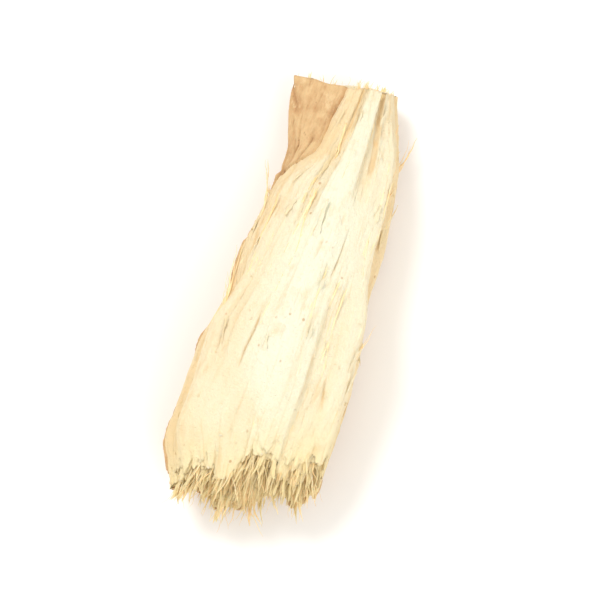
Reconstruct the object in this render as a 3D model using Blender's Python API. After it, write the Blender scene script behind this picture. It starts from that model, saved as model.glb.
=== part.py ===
"""A chip of dried ginger root, sliced from a rhizome and torn along its fibres.

The chip lies on its skin side with its fibres along Y. The torn end, where the fibres stand out, points
to -Y, and the thin cut end to +Y. The script works in millimetres. The finished mesh is in metres, +Z up,
with the origin on the surface that the chip lies on, under the middle of its bounding box.
"""

import math

import bmesh
import bpy
import numpy as np
from mathutils import Matrix, Vector

METRES = 0.001  # one millimetre

# The chip at nine cuts, in millimetres: how far along the fibres from the torn end, its left side, its
# right side, the left edge of its top face, the height of that edge, of the crest and of the belly
CUTS = (
    (0.0, -2.10, 1.40, -1.72, 1.90, 2.30, 0.62),
    (1.1, -2.56, 1.52, -2.26, 2.20, 2.72, 0.20),
    (2.2, -2.50, 1.60, -2.14, 2.38, 2.98, -0.04),
    (3.5, -2.42, 1.46, -2.10, 2.42, 3.12, -0.12),
    (4.6, -2.06, 1.28, -1.70, 2.36, 3.02, -0.13),
    (6.0, -1.92, 1.30, -1.58, 2.14, 2.74, -0.10),
    (7.1, -1.76, 1.22, -1.38, 1.92, 2.48, 0.02),
    (8.0, -1.60, 1.12, -0.86, 1.80, 2.20, 0.22),
    (9.7, -2.12, 0.62, -0.50, 1.56, 1.68, 0.48),
)
LENGTH = CUTS[-1][0]
CREST = (-0.25, 0.22)  # where the crest runs across, at the torn end and at the cut end

# Corners of a section, as shares of the sides and of the height from belly to crest
CORNERS = 7
RIGHT_BELLY = 0.46
RIGHT_FOOT = 0.27
RIGHT_SHOULDER = 0.78
RIGHT_DRAFT = 0.14
LEFT_FOOT = 0.36
LEFT_BELLY = 0.48

# Rounding of the corners: on flesh and on skin in corner steps, and along the chip in millimetres
FLESH_ROUNDING = 0.09
SKIN_ROUNDING = 0.40
LONG_ROUNDING = 0.22

# The torn end slopes out towards its foot and its left side, and the cut end leans back
TORN_SLOPE = (0.35, 0.42)
TORN_BACK = 0.80
CUT_SLOPE = (0.10, -0.20)

# Relief: how deep it is and how long its waves are, in millimetres, and its waves in a corner step
LUMPS, LUMP_LENGTH = 0.08, 1.9
RIBS, RIB_LENGTH, RIBS_A_STEP = 0.045, 3.2, 4
FOLDS, FOLD_LENGTH, FOLDS_A_STEP = 0.09, 1.4, 3
TORN_ROUGH, TORN_GRAIN = 0.32, 0.42
CUT_ROUGH, CUT_GRAIN = 0.06, 0.5
TORN_FADE = 0.12  # the share of the length over which the torn end's roughness dies out

# Scars where a splinter split off the flesh: place round the section in corner steps, first and last
# place along, half width in corner steps, depth
SCAR_RUNOUT = 0.9
SCARS = (
    (2.42, 0.0, 4.4, 0.20, 0.13),
    (1.52, 2.2, 7.9, 0.24, 0.22),
    (3.50, 5.6, 9.7, 0.12, 0.09),
    (3.30, 0.0, 1.9, 0.12, 0.10),
    (4.50, 0.4, 5.2, 0.22, 0.18),
    (2.66, 6.4, 9.7, 0.16, 0.12),
    (1.10, 0.0, 3.0, 0.14, 0.14),
    (3.82, 2.2, 4.8, 0.08, 0.07),
)

STEPS_ROUND = 64
STEPS_ALONG = 42
STEPS_END = 5

# Fibres that stand out of the body, in millimetres: the reach of a thin one and of a thick one
TORN_FIBRES = 30
TORN_REACH = (0.78, 0.20)
TORN_SPLAY = 0.13
CUT_FIBRES = 9
CUT_REACH = (0.24, 0.08)
CUT_SPLAY = 0.05
FIBRE_RADIUS = (0.045, 0.13)
FIBRE_TIP = 0.4  # a fibre's tip, as a share of its root
FIBRE_ROOT = 0.55  # how deep a fibre starts inside the body
FIBRE_CURL = 0.35
FIBRE_POINTS = 5
FIBRE_STRAY = 0.14  # how far a fibre leans by chance
GOLDEN_ANGLE = math.pi * (3 - math.sqrt(5))

# Strands that lift off the sides: place round the section in corner steps, place along, which way they
# point along, and their length
STRANDS = (
    (4.08, 3.9, 1, 1.5),
    (2.12, 5.2, -1, 1.3),
    (4.90, 6.6, 1, 1.2),
    (1.95, 2.4, 1, 1.1),
    (3.60, 8.3, -1, 1.0),
    (0.95, 7.6, 1, 1.2),
)
STRAND_RADIUS = 0.065
STRAND_SUNK = 0.07
STRAND_LIFT = 0.12
STRAND_CURL = 0.09

# The skin: where it ends round the section on the left and on the right, in corner steps, how far it
# climbs the left side, and where along the chip it does so
SKIN_LEFT, SKIN_RIGHT = 4.95, 0.85
SKIN_CLIMB = 0.9
SHOULDER_START, SHOULDER_LENGTH = 7.0, 1.2
SKIN_EDGE = 0.3

SEED = 23

FLESH_COLOUR = (0.90, 0.79, 0.55, 1.0)
FLESH_ROUGHNESS = 0.85


def measure(column, along):
    """One measurement of the chip at each place along it, its bends rounded by a sliding mean."""
    places = [cut[0] for cut in CUTS]
    values = [cut[column] for cut in CUTS]
    shifts = np.linspace(-LONG_ROUNDING, LONG_ROUNDING, 5)
    return np.mean([np.interp(along + shift, places, values) for shift in shifts], axis=0)


def section_corners(along):
    """The corners of the section at each place along, as an array of place, corner, (across, up)."""
    left, right, edge, edge_up, crest, belly = [measure(column, along) for column in range(1, 7)]
    crest_across = np.interp(along, (0, LENGTH), CREST)
    height = crest - belly
    corners = (
        (right * RIGHT_BELLY, belly),
        (right, belly + height * RIGHT_FOOT),
        (right - RIGHT_DRAFT, belly + height * RIGHT_SHOULDER),
        (crest_across, crest),
        (edge, edge_up),
        (left, belly + height * LEFT_FOOT),
        (left * LEFT_BELLY, belly),
    )
    return np.array(corners).transpose(2, 0, 1)


def skin_share(turn, along):
    """1 where skin covers the chip and 0 on bare flesh: the belly, and a shoulder near the cut end."""
    shoulder = np.clip((along - SHOULDER_START) / SHOULDER_LENGTH, 0, 1)
    from_left = (turn - SKIN_LEFT + SKIN_CLIMB * shoulder) / SKIN_EDGE
    from_right = (SKIN_RIGHT - turn) / SKIN_EDGE
    return np.clip(np.maximum(from_left, from_right) + 0.5, 0, 1)


def smooth_noise(seed, across, along, period=64):
    """Smooth noise of about -1 to 1 over two coordinates, the first of them repeating after a period."""
    size = 64
    grid = np.random.default_rng(seed).uniform(-1, 1, (size, size))
    column = np.floor(across).astype(int)
    row = np.floor(along).astype(int)
    u = across - column
    v = along - row
    u = u * u * (3 - 2 * u)
    v = v * v * (3 - 2 * v)
    here, there = column % period, (column + 1) % period
    low = grid[here, row % size] * (1 - u) + grid[there, row % size] * u
    high = grid[here, (row + 1) % size] * (1 - u) + grid[there, (row + 1) % size] * u
    return low * (1 - v) + high * v


def turns():
    """Places round the section, in corner steps, spread evenly over its mean girth."""
    corners = section_corners(np.linspace(0.5, 9.0, 12))
    sides = np.linalg.norm(np.roll(corners, -1, axis=1) - corners, axis=2).mean(axis=0)
    girth = np.concatenate(([0], np.cumsum(sides)))
    return np.interp(np.arange(STEPS_ROUND) * girth[-1] / STEPS_ROUND, girth, np.arange(CORNERS + 1))


def outline_at(turn, along):
    """The section's outline, its corners rounded by a sliding mean that is wider on the skin."""
    corners = section_corners(along)
    reach = FLESH_ROUNDING + (SKIN_ROUNDING - FLESH_ROUNDING) * skin_share(turn, 0.0)
    total = 0
    shifts = np.linspace(-1, 1, 9)
    for shift in shifts:
        place = (turn + shift * reach) % CORNERS
        corner = np.floor(place).astype(int)
        share = (place - corner)[None, :, None]
        total = total + corners[:, corner % CORNERS] * (1 - share)
        total = total + corners[:, (corner + 1) % CORNERS] * share
    return total / len(shifts)


def scar_depth(turn, along):
    """How deep the splinter scars lie: steep at their sides, and running out where they end on a side."""
    depth = 0
    for middle, first, last, half_width, deep in SCARS:
        from_first = along - first if first > 0 else LENGTH
        from_last = last - along if last < LENGTH else LENGTH
        runout = np.clip(np.minimum(from_first, from_last) / SCAR_RUNOUT, 0, 1)
        walls = np.clip(2.5 - 2 * np.abs(turn - middle) / half_width, 0, 1)
        depth = depth + deep * walls * runout
    return depth


def relief(turn, along):
    """How far the surface stands out of its smooth outline."""
    skin = skin_share(turn, along)
    lumps = LUMPS * smooth_noise(SEED, turn, along / LUMP_LENGTH, CORNERS)
    ribs = RIBS * smooth_noise(SEED + 1, turn * RIBS_A_STEP, along / RIB_LENGTH, CORNERS * RIBS_A_STEP)
    folds = FOLDS * smooth_noise(SEED + 2, turn * FOLDS_A_STEP, along / FOLD_LENGTH, CORNERS * FOLDS_A_STEP)
    return lumps + (ribs - scar_depth(turn, along)) * (1 - skin) + folds * skin


def torn_plane(across, up):
    """Where the torn end's face would lie along the chip if it were smooth."""
    return TORN_SLOPE[0] * across + TORN_SLOPE[1] * up - TORN_BACK


def torn_face(across, up):
    """Where the torn end's face lies along the chip."""
    rough = smooth_noise(SEED + 3, across / TORN_GRAIN + 20, up / TORN_GRAIN + 20)
    return torn_plane(across, up) + TORN_ROUGH * rough


def cut_face(across, up):
    """Where the cut end's face lies along the chip."""
    rough = smooth_noise(SEED + 4, across / CUT_GRAIN + 20, up / CUT_GRAIN + 20)
    return LENGTH + CUT_SLOPE[0] * across + CUT_SLOPE[1] * (up - 0.5) + CUT_ROUGH * rough


def placed(flat, share):
    """Points of the body from their place in the section and their share of the way along."""
    across, up = flat[..., 0], flat[..., 1]
    plane = torn_plane(across, up)
    torn = plane + (torn_face(across, up) - plane) * np.clip(1 - share / TORN_FADE, 0, 1)
    return np.stack([across, torn + (cut_face(across, up) - torn) * share, up], axis=-1)


def body_loops():
    """Loops of points from the middle of the torn end, along the sides, to the middle of the cut end."""
    turn = turns()
    along = np.linspace(0, LENGTH, STEPS_ALONG)
    outline = outline_at(turn, along)
    centre = outline.mean(axis=1, keepdims=True)
    outward = outline - centre
    outward /= np.linalg.norm(outward, axis=2, keepdims=True)
    outline = outline + outward * relief(turn[None, :], along[:, None])[:, :, None]

    def end_loops(face, share):
        middle = outline[face].mean(axis=0)
        shares = np.arange(1, STEPS_END) / STEPS_END
        return [placed(middle + (outline[face] - middle) * out, share) for out in shares]

    torn_loops = end_loops(0, 0.0)
    cut_loops = end_loops(-1, 1.0)
    torn_middle = placed(outline[0].mean(axis=0), 0.0)
    cut_middle = placed(outline[-1].mean(axis=0), 1.0)
    sides = list(placed(outline, (along / LENGTH)[:, None]))
    return torn_middle, torn_loops + sides + cut_loops[::-1], cut_middle


def body_object(collection):
    """The body as a closed loft, worn flat where it would reach below the surface that it lies on."""
    torn_middle, loops, cut_middle = body_loops()
    shape = bmesh.new()
    rows = []
    for loop in loops:
        rows.append([shape.verts.new((x, y, max(z, 0.0))) for x, y, z in loop.tolist()])
    first = shape.verts.new(torn_middle.tolist())
    last = shape.verts.new(cut_middle.tolist())
    for i in range(STEPS_ROUND):
        j = (i + 1) % STEPS_ROUND
        shape.faces.new((first, rows[0][j], rows[0][i]))
        shape.faces.new((last, rows[-1][i], rows[-1][j]))
        for low, high in zip(rows, rows[1:]):
            shape.faces.new((low[i], low[j], high[j], high[i]))
    bmesh.ops.triangulate(shape, faces=shape.faces[:])
    bmesh.ops.recalc_face_normals(shape, faces=shape.faces[:])
    mesh = bpy.data.meshes.new("ginger_piece")
    shape.to_mesh(mesh)
    shape.free()
    body = bpy.data.objects.new("ginger_piece", mesh)
    collection.objects.link(body)
    return body


def fibre_object(collection, root, direction, reach, radius, curl):
    """One tapered fibre as a closed mesh, from its root inside the body to its tip outside."""
    curve = bpy.data.curves.new("fibre", "CURVE")
    curve.dimensions = "3D"
    curve.bevel_depth = 1.0
    curve.bevel_resolution = 1
    curve.use_fill_caps = True
    spline = curve.splines.new("POLY")
    spline.points.add(FIBRE_POINTS - 1)
    for step, point in enumerate(spline.points):
        share = step / (FIBRE_POINTS - 1)
        out = share * (reach + FIBRE_ROOT) - FIBRE_ROOT
        spot = root + direction * out + curl * max(out, 0) ** 2
        point.co = (*spot, 1)
        point.radius = radius * (1 - (1 - FIBRE_TIP) * share**2)
    tube = bpy.data.objects.new("fibre", curve)
    collection.objects.link(tube)
    graph = bpy.context.evaluated_depsgraph_get()
    solid = bpy.data.meshes.new_from_object(tube.evaluated_get(graph))
    shape = bmesh.new()
    shape.from_mesh(solid)
    bmesh.ops.remove_doubles(shape, verts=shape.verts[:], dist=1e-5)
    bmesh.ops.recalc_face_normals(shape, faces=shape.faces[:])
    shape.to_mesh(solid)
    shape.free()
    bpy.data.objects.remove(tube)
    bpy.data.curves.remove(curve)
    collection.objects.link(bpy.data.objects.new("fibre", solid))


def end_fibres(collection, rng, count, share, reach_range, splay):
    """Fibres spread over one end of the body in a golden-angle spiral, leaning away from its middle."""
    outline = outline_at(turns(), np.array([share * LENGTH]))[0]
    middle = outline.mean(axis=0)
    way = 1 if share else -1
    face = cut_face if share else torn_face
    for i in range(count):
        place = int(i * GOLDEN_ANGLE / (2 * math.pi) * STEPS_ROUND) % STEPS_ROUND
        out = 0.9 * math.sqrt((i + 0.5) / count)
        flat = middle + (outline[place] - middle) * out + rng.uniform(-0.06, 0.06, 2)
        lean = (flat - middle) * splay + rng.uniform(-FIBRE_STRAY, FIBRE_STRAY, 2)
        direction = Vector((lean[0], way, lean[1])).normalized()
        thick = rng.uniform() ** 1.5
        radius = FIBRE_RADIUS[0] + (FIBRE_RADIUS[1] - FIBRE_RADIUS[0]) * thick
        reach = reach_range[0] + (reach_range[1] - reach_range[0]) * (0.6 * thick + 0.4 * rng.uniform())
        curl = Vector((rng.uniform(-1, 1), 0, rng.uniform(-1, 0.6))) * FIBRE_CURL
        root = Vector((flat[0], float(face(flat[0], flat[1])), flat[1]))
        fibre_object(collection, root, direction, reach, radius, curl)


def side_strands(collection):
    """Strands that have split off the sides of the body and lift away from it."""
    for turn, along, way, length in STRANDS:
        here = np.array([along])
        flat = outline_at(np.array([turn]), here)[0, 0]
        middle = outline_at(turns(), here)[0].mean(axis=0)
        outward = (flat - middle) / np.linalg.norm(flat - middle)
        y = float(placed(flat, along / LENGTH)[1])
        direction = Vector((outward[0] * STRAND_LIFT, way, outward[1] * STRAND_LIFT)).normalized()
        flat = flat - outward * STRAND_SUNK
        curl = Vector((outward[0], 0, outward[1])) * STRAND_CURL
        fibre_object(collection, Vector((flat[0], y, flat[1])), direction, length, STRAND_RADIUS, curl)


def flesh_material():
    """Dry, starchy cream flesh."""
    material = bpy.data.materials.new("ginger_flesh")
    material.use_nodes = True
    shader = material.node_tree.nodes["Principled BSDF"]
    shader.inputs["Base Color"].default_value = FLESH_COLOUR
    shader.inputs["Roughness"].default_value = FLESH_ROUGHNESS
    shader.inputs["Metallic"].default_value = 0.0
    return material


def join_fibres(body, fibres):
    """Fuses the fibres to the body they grow from, and removes their own objects."""
    union = body.modifiers.new("grown_together", "BOOLEAN")
    union.operation = "UNION"
    union.operand_type = "COLLECTION"
    union.collection = fibres
    union.solver = "EXACT"
    graph = bpy.context.evaluated_depsgraph_get()
    joined = bpy.data.meshes.new_from_object(body.evaluated_get(graph))
    body.modifiers.clear()
    body.data = joined
    for fibre in list(fibres.objects):
        bpy.data.objects.remove(fibre)
    bpy.data.collections.remove(fibres)


def settle(body):
    """Puts the origin on the surface under the middle of the bounding box, and scales to metres."""
    spots = np.array([vertex.co for vertex in body.data.vertices])
    low, high = spots.min(axis=0), spots.max(axis=0)
    middle = (low + high) / 2
    body.data.transform(Matrix.Translation((-middle[0], -middle[1], -low[2])))
    body.data.transform(Matrix.Scale(METRES, 4))


def main():
    for old in list(bpy.data.objects):
        bpy.data.objects.remove(old)
    chip = bpy.data.collections.new("dried_ginger_root")
    fibres = bpy.data.collections.new("fibres")
    bpy.context.scene.collection.children.link(chip)
    bpy.context.scene.collection.children.link(fibres)
    rng = np.random.default_rng(SEED)
    body = body_object(chip)
    end_fibres(fibres, rng, TORN_FIBRES, 0.0, TORN_REACH, TORN_SPLAY)
    end_fibres(fibres, rng, CUT_FIBRES, 1.0, CUT_REACH, CUT_SPLAY)
    side_strands(fibres)
    join_fibres(body, fibres)
    settle(body)
    body.data.name = "ginger_piece"
    body.data.materials.clear()
    body.data.materials.append(flesh_material())


main()
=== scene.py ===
"""Looks of a chip of dried ginger root: starchy cream flesh, papery tan skin and straw-coloured fibres.

The chip's form is worked out in millimetres, along the fibres, round the section and outwards, from the
same measurements as the solid that it replaces, and is then placed in the frame in metres.
"""

import math
from collections import namedtuple

import bmesh
import bpy
import numpy as np
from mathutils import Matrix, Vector


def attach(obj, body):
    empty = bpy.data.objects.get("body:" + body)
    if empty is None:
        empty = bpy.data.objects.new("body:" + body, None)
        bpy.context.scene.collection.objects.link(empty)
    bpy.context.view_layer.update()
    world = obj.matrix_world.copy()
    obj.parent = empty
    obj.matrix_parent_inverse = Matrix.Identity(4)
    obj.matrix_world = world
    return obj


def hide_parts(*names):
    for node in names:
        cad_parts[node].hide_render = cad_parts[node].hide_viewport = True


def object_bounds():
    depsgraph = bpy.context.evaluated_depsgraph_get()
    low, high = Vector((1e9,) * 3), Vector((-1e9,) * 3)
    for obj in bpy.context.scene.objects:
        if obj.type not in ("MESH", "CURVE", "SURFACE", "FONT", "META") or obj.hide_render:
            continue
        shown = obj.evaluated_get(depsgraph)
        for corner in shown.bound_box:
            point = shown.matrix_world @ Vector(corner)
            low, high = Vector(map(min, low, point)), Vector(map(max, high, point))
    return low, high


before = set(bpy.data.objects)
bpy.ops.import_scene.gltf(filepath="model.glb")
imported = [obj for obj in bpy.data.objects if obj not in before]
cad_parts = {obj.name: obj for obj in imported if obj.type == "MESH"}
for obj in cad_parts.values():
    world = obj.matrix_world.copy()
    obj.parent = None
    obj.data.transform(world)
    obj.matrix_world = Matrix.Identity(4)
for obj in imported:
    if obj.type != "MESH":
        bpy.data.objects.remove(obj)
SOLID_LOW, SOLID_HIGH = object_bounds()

bl_info = {
    "name": "Dried ginger root chip",
    "version": (1, 0, 0),
    "blender": (4, 5, 0),
    "location": "3D View > Sidebar > Ginger",
    "description": "Builds a chip of dried ginger root with its flesh, skin, fibres and crumbs",
    "category": "Add Mesh",
}

MM = 0.001
NODE = "ginger_piece"

# The chip at nine cuts, in millimetres: how far along the fibres from the torn end, its left side, its
# right side, the left edge of its top face, the height of that edge, of the crest and of the belly
CUTS = (
    (0.0, -2.10, 1.40, -1.72, 1.90, 2.30, 0.62),
    (1.1, -2.56, 1.52, -2.26, 2.20, 2.72, 0.20),
    (2.2, -2.50, 1.60, -2.14, 2.38, 2.98, -0.04),
    (3.5, -2.42, 1.46, -2.10, 2.42, 3.12, -0.12),
    (4.6, -2.06, 1.28, -1.70, 2.36, 3.02, -0.13),
    (6.0, -1.92, 1.30, -1.58, 2.14, 2.74, -0.10),
    (7.1, -1.76, 1.22, -1.38, 1.92, 2.48, 0.02),
    (8.0, -1.60, 1.12, -0.86, 1.80, 2.20, 0.22),
    (9.7, -2.12, 0.62, -0.50, 1.56, 1.68, 0.48),
)
LENGTH = CUTS[-1][0]
CREST = (-0.25, 0.22)
MIDDLE = (-0.4325, 4.2197)  # across and along, the middle of the chip's box, which is the frame's origin

# Corners of a section, as shares of the sides and of the height from belly to crest. Round the section,
# corner 0 is the right of the belly, 1 the right foot, 2 the right shoulder, 3 the crest, 4 the left edge,
# 5 the left foot and 6 the left of the belly
CORNERS = 7
RIGHT_BELLY = 0.46
RIGHT_FOOT = 0.27
RIGHT_SHOULDER = 0.78
RIGHT_DRAFT = 0.14
LEFT_FOOT = 0.36
LEFT_BELLY = 0.48

# How far the corners are rounded, in corner steps, and the bends along the chip, in millimetres
FLESH_ROUNDING = 0.09
SKIN_ROUNDING = 0.40
LONG_ROUNDING = 0.22

# The end faces: how far they lean along for each millimetre across and up and where they start, how rough
# they are, and the size of that roughness
TORN_SLOPE = (0.35, 0.42)
TORN_BACK = 0.80
TORN_ROUGH, TORN_GRAIN = 0.32, 0.42
TORN_FADE = 0.12  # the share of the chip's length in which that roughness dies out
CUT_SLOPE = (0.10, -0.20)
CUT_HEIGHT = 0.5
CUT_ROUGH, CUT_GRAIN = 0.06, 0.5

SCAR_RUNOUT = 0.9  # how far along a scar's end runs out

# Scars where a splinter split off the flesh: place round, first and last place along, half width, depth
SCARS = (
    (2.42, 0.0, 4.4, 0.20, 0.13),
    (1.52, 2.2, 7.9, 0.24, 0.22),
    (3.50, 5.6, 9.7, 0.12, 0.09),
    (3.30, 0.0, 1.9, 0.12, 0.10),
    (4.50, 0.4, 5.2, 0.22, 0.18),
    (2.66, 6.4, 9.7, 0.16, 0.12),
    (1.10, 0.0, 3.0, 0.14, 0.14),
    (3.82, 2.2, 4.8, 0.08, 0.07),
)

# Shrinkage cracks in the flesh: place round, first and last place along, depth
CRACK_SEED, CRACK_HALF_WIDTH, CRACK_STRAY, CRACK_RUNOUT = 36, 0.014, 0.04, 0.6
CRACKS = (
    (3.52, 2.1, 3.9, 0.07),
    (2.70, 4.4, 6.1, 0.06),
    (2.25, 0.9, 2.3, 0.06),
)

# Where the skin lies, in corner steps round, and how it climbs the left side at the narrow end
SKIN_LEFT, SKIN_RIGHT = 4.95, 0.85
SKIN_CLIMB = 0.9
SHOULDER_START, SHOULDER_LENGTH = 7.0, 1.2
SKIN_EDGE = 0.3
SPARE_LEFT, SPARE_RIGHT = 0.35, 0.30  # how far the skin's mesh goes past its edges
SKIN_HEIGHT = 0.035
FLESH_UNDER_SKIN = 0.022
SKIN_LIP, SKIN_DIVE = 0.012, 0.05  # how far the skin's edge curls up, and then goes down into the flesh
CORTEX_WIDTH = 0.55  # from the skin's edge to the ring line in the flesh

# Leaf scars across the skin: the place along and how far the scar wanders. Each has a raised lip, a groove
# one step further along, and a dark band in the groove
LEAF_SCARS = ((1.6, 0.30), (4.3, 0.40), (7.4, 0.35))
LEAF_SCAR_SEED = 56
LEAF_SCAR_LIP, LEAF_SCAR_GROOVE, LEAF_SCAR_WIDTH = 0.045, 0.035, 0.07
LEAF_SCAR_STEP = 0.15
LEAF_SCAR_BAND, LEAF_BAND_WIDTH = 0.13, 0.09

# A pattern laid on the chip's sides: its seed, its steps from corner to corner, the length of a step
# along, its height in millimetres, and the width of its lines in steps. A pattern that moves another has
# a height in that one's steps, and one that breaks another up has a strength
Pattern = namedtuple("Pattern", "seed steps length height width", defaults=(0.0,))
SEED = 23
LUMPS = Pattern(SEED, 1, 1.9, 0.08)
RIBS = Pattern(SEED + 1, 4, 3.2, 0.032)
FOLDS = Pattern(SEED + 2, 3, 1.4, 0.09)
WANDER = Pattern(31, 1, 2.4, 0.30)
JITTER = Pattern(37, 12, 0.18, 0.20)
PLATES = Pattern(38, 2, 1.7, 0.010)
BUNDLES = Pattern(32, 5, 2.6, 0.012, 0.16)
HOLLOWS = Pattern(34, 3, 0.8, 0.016)
FURROWS = Pattern(39, 8, 2.2, 0.010)
FIBRES = Pattern(33, 11, 2.8, 0.013, 0.09)
FIBRE_BREAKS = Pattern(47, 6, 0.75, 1.6)
STRIAE = Pattern(45, 21, 1.3, 0.009)
POWDER = (Pattern(48, 7, 0.30, 0.008), Pattern(35, 13, 0.14, 0.007), Pattern(40, 26, 0.11, 0.005))
SLITS = Pattern(44, 14, 0.50, 0.034)
RING_STRAY = Pattern(59, 2, 0.9, 0.10)
RING_WAVER = Pattern(62, 5, 0.3, 0.04)
RING_BREAKS = Pattern(63, 2, 0.6, 0.9)
SKIN_WEAVE = Pattern(53, 1, 1.2, 0.5)
CREASES = Pattern(54, 4, 2.6, 0.055, 0.085)
CREASE_BREAKS = Pattern(64, 3, 0.8, 1.5)
SMALL_CREASES = Pattern(55, 9, 1.1, 0.028, 0.11)
SMALL_BREAKS = Pattern(65, 5, 0.5, 1.5)
PLUMPNESS = Pattern(57, 3, 0.6, 0.022)
SKIN_GRAIN = Pattern(58, 24, 0.12, 0.005)
RAGGED = (Pattern(51, 2, 0.7, 0.10), Pattern(52, 7, 0.16, 0.05))
TATTERS = Pattern(60, 7, 1.0, 0.10)
BUNDLE_GROOVE = 0.020  # between the bundles
PULLED_DEPTH = 0.045  # where a bundle was pulled out

# What stands out of an end face: its seed, its size across and up, its height, and the depth and the width
# of the grooves round it
EndPattern = namedtuple("EndPattern", "seed size height depth width")
STUBS = EndPattern(41, (0.34, 0.26), 0.15, 0.10, 0.22)
STUB_FIBRES = EndPattern(42, (0.11, 0.11), 0.10, 0.04, 0.25)
CUT_DOTS = EndPattern(43, (0.16, 0.16), 0.022, 0.02, 0.35)
STUB_SEED, STUB_WARP, STUB_WARP_SIZE = 46, 0.35, 0.22
STUBS_FADE, CUT_DOTS_FADE = 0.55, 0.12

# How the fine mesh is divided, and how far the flesh stays off the floor
FLESH_ROUND, FLESH_ALONG = 360, 188
UNDER_SKIN_SHARE = 0.35
TORN_RINGS, CUT_RINGS = 46, 30
SKIN_ROUND, SKIN_ALONG = 210, 200
FLESH_CLEARANCE = 0.035

# The solid's own fibres, which the fine ones grow out of
TORN_FIBRES = 30
TORN_REACH = (0.78, 0.20)
TORN_SPLAY = 0.13
CUT_FIBRES = 9
CUT_REACH = (0.24, 0.08)
CUT_SPLAY = 0.05
FIBRE_RADIUS = (0.045, 0.13)
FIBRE_ROOT = 0.55
FIBRE_CURL = 0.35
FIBRE_STRAY = 0.14
SOLID_STEPS_ROUND = 64
GOLDEN_ANGLE = math.pi * (3 - math.sqrt(5))
Fibre = namedtuple("Fibre", "root direction reach radius curl")
FRAY_STEP = 0.022  # a fibre frays into one more hair for each of these in its radius

# The solid's strands, which lift off the sides: place round, place along, the way they run and their length
STRANDS = (
    (4.08, 3.9, 1, 1.5),
    (2.12, 5.2, -1, 1.3),
    (4.90, 6.6, 1, 1.2),
    (1.95, 2.4, 1, 1.1),
    (3.60, 8.3, -1, 1.0),
    (0.95, 7.6, 1, 1.2),
)
STRAND_RADIUS = 0.052
STRAND_SUNK = 0.07
STRAND_LIFT = 0.12
STRAND_CURL = 0.09

# What the flesh's finish reads at each point, and its values at the middles of the torn and the cut end
FLESH_VALUES = ("groove", "torn", "warm", "ring", "vein", "cortex", "ridge")
END_VALUES = {"torn": (1.0, 0.0), "warm": (0.5, 0.5)}
# Where the painted highlight along the sliced face's ridge lies, in corner steps round, and how wide it is
HIGHLIGHT_RIDGE_PLACE, HIGHLIGHT_RIDGE_WIDTH = 3.15, 0.42

# Camera, in degrees and millimetres
VIEW_LEAN = 15.8  # the chip's narrow end leans this far to the right in the picture
VIEW_HEIGHT = 80.0
PICTURE_TALL = 14.0  # how much the picture shows at the chip
CAMERA_AWAY = 150.0
FILM = 36.0

# Each light: its name, the way it comes from, its strength, and how wide it is in degrees
LIGHTS = (("key", (-0.62, 0.42, 1.05), 1.46, 20), ("fill", (0.8, -0.45, 0.9), 1.00, 50))
SKY_COLOUR, SKY_STRENGTH = (1.0, 0.98, 0.94, 1.0), 0.80
FLOOR_HALF = 0.25  # in metres


def measure(column, along):
    """One measurement of the chip at each place along it, its bends rounded by a sliding mean."""
    places = [cut[0] for cut in CUTS]
    values = [cut[column] for cut in CUTS]
    shifts = np.linspace(-LONG_ROUNDING, LONG_ROUNDING, 5)
    return np.mean([np.interp(along + shift, places, values) for shift in shifts], axis=0)


def section_corners(along):
    """The corners of the section at each place along, as an array of place, corner, (across, up)."""
    left, right, edge, edge_up, crest, belly = [measure(column, along) for column in range(1, 7)]
    crest_across = np.interp(along, (0, LENGTH), CREST)
    height = crest - belly
    corners = (
        (right * RIGHT_BELLY, belly),
        (right, belly + height * RIGHT_FOOT),
        (right - RIGHT_DRAFT, belly + height * RIGHT_SHOULDER),
        (crest_across, crest),
        (edge, edge_up),
        (left, belly + height * LEFT_FOOT),
        (left * LEFT_BELLY, belly),
    )
    return np.array(corners).transpose(2, 0, 1)


def smooth_step(share):
    """A share from 0 to 1 that starts and ends gently."""
    return share * share * (3 - 2 * share)


def skin_reach(turn, along):
    """How far inside the skin's edge a place lies, in corner steps, and below 0 on bare flesh."""
    shoulder = smooth_step(np.clip((along - SHOULDER_START) / SHOULDER_LENGTH, 0, 1))
    return np.maximum(turn - SKIN_LEFT + SKIN_CLIMB * shoulder, SKIN_RIGHT - turn)


def skin_share(turn, along):
    """1 where skin covers the chip and 0 on bare flesh."""
    return np.clip(skin_reach(turn, along) / SKIN_EDGE + 0.5, 0, 1)


def smooth_noise(seed, across, along, period=64):
    """Smooth noise of about -1 to 1 over two coordinates, the first of them repeating after a period."""
    size = 64
    grid = np.random.default_rng(seed).uniform(-1, 1, (size, size))
    column = np.floor(across).astype(int)
    row = np.floor(along).astype(int)
    u, v = smooth_step(across - column), smooth_step(along - row)
    here, there = column % period % size, (column + 1) % period % size
    low = grid[here, row % size] * (1 - u) + grid[there, row % size] * u
    high = grid[here, (row + 1) % size] * (1 - u) + grid[there, (row + 1) % size] * u
    return low * (1 - v) + high * v


def cells(seed, across, along, period=128):
    """The value of the nearest cell of a scattered pattern, -1 to 1, and how far off its border is."""
    size = 128
    rng = np.random.default_rng(seed)
    spots = rng.uniform(0.1, 0.9, (size, size, 2))
    values = rng.uniform(-1, 1, (size, size))
    column = np.floor(across).astype(int)
    row = np.floor(along).astype(int)
    nearest = np.full(np.shape(across), 9.0)
    second = nearest.copy()
    value = np.zeros(np.shape(across))
    for i in (-1, 0, 1):
        for j in (-1, 0, 1):
            a, b = (column + i) % period % size, (row + j) % size
            gap = np.hypot(column + i + spots[a, b, 0] - across, row + j + spots[a, b, 1] - along)
            closer = gap < nearest
            second = np.where(closer, nearest, np.minimum(second, gap))
            value = np.where(closer, values[a, b], value)
            nearest = np.where(closer, gap, nearest)
    return value, second - nearest


def laid_noise(pattern, turn, along, shift=0):
    """A pattern of smooth noise on the chip's sides, moved round by a shift in its own steps."""
    across, period = turn * pattern.steps + shift, CORNERS * pattern.steps
    return pattern.height * smooth_noise(pattern.seed, across, along / pattern.length, period)


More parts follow.
